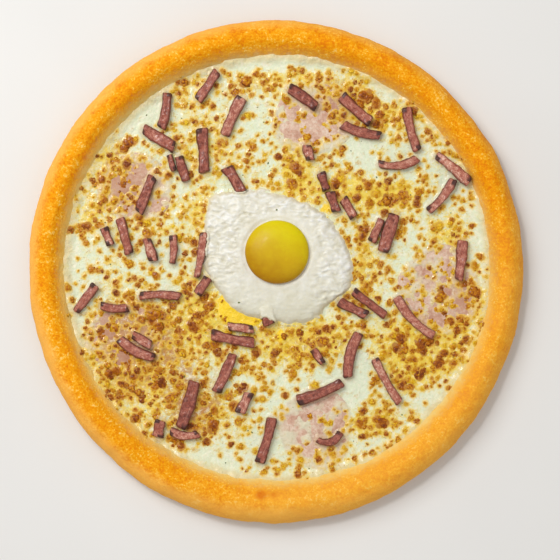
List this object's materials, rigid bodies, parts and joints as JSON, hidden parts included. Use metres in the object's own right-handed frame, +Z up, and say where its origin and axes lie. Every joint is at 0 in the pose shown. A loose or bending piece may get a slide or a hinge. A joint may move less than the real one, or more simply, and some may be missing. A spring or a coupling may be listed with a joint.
{
  "type": "carbonara pizza",
  "caption": "Whole round pizza with a raised bread rim, melted cheese and cream, sunken ham slices, scattered bacon strips and a fried egg near the middle.",
  "frame": {"origin": "middle of the flat underside, on the surface that the pizza rests on", "axes": "+Z up out of the topping; +X and +Y lie in the underside, with the egg displaced from the middle along +Y"},
  "size_m": [0.2974, 0.3028, 0.0221],
  "materials": {
    "crust": "baked bread crust, golden orange, dry and finely pitted, paler at the outer foot",
    "cheese": "melted cheese and cream, satin to wet, pale cream pools and yellow patches with browned curds",
    "ham": "cooked ham under a thin film of melted cheese, pale pink",
    "bacon": "fried smoked bacon, dull red-brown with pale fat streaks and dark seared edges",
    "egg_white": "set egg white, satin, off-white",
    "egg_yolk": "soft egg yolk, glossy, golden yellow",
    "browned_cheese": "cheese curds browned by the oven, orange to dark brown, on the melted cheese",
    "herb": "dried green herb flecks"
  },
  "bodies": {
    "root": {"crust": "crust", "cheese_bed": "cheese", "ham_slice_1": "ham", "ham_slice_2": "ham", "ham_slice_3": "ham", "ham_slice_4": "ham", "ham_slice_5": "ham", "bacon_strip_01": "bacon", "bacon_strip_02": "bacon", "bacon_strip_03": "bacon", "bacon_strip_04": "bacon", "bacon_strip_05": "bacon", "bacon_strip_06": "bacon", "bacon_strip_07": "bacon", "bacon_strip_08": "bacon", "bacon_strip_09": "bacon", "bacon_strip_10": "bacon", "bacon_strip_11": "bacon", "bacon_strip_12": "bacon", "bacon_strip_13": "bacon", "bacon_strip_14": "bacon", "bacon_strip_15": "bacon", "bacon_strip_16": "bacon", "bacon_strip_17": "bacon", "bacon_strip_18": "bacon", "bacon_strip_19": "bacon", "bacon_strip_20": "bacon", "bacon_strip_21": "bacon", "bacon_strip_22": "bacon", "bacon_strip_23": "bacon", "bacon_strip_24": "bacon", "bacon_strip_25": "bacon", "bacon_strip_26": "bacon", "bacon_strip_27": "bacon", "bacon_strip_28": "bacon", "bacon_strip_29": "bacon", "bacon_strip_30": "bacon", "bacon_strip_31": "bacon", "bacon_strip_32": "bacon", "bacon_strip_33": "bacon", "bacon_strip_34": "bacon", "bacon_strip_35": "bacon", "bacon_strip_36": "bacon", "bacon_strip_37": "bacon", "bacon_strip_38": "bacon", "bacon_strip_39": "bacon", "bacon_strip_40": "bacon", "bacon_strip_41": "bacon", "bacon_strip_42": "bacon", "bacon_strip_43": "bacon", "bacon_strip_44": "bacon", "bacon_strip_45": "bacon", "bacon_strip_46": "bacon", "bacon_strip_47": "bacon", "bacon_strip_48": "bacon", "bacon_strip_49": "bacon", "bacon_strip_50": "bacon", "bacon_strip_51": "bacon", "egg_white": "egg_white", "egg_yolk": "egg_yolk"}
  },
  "joints": []
}
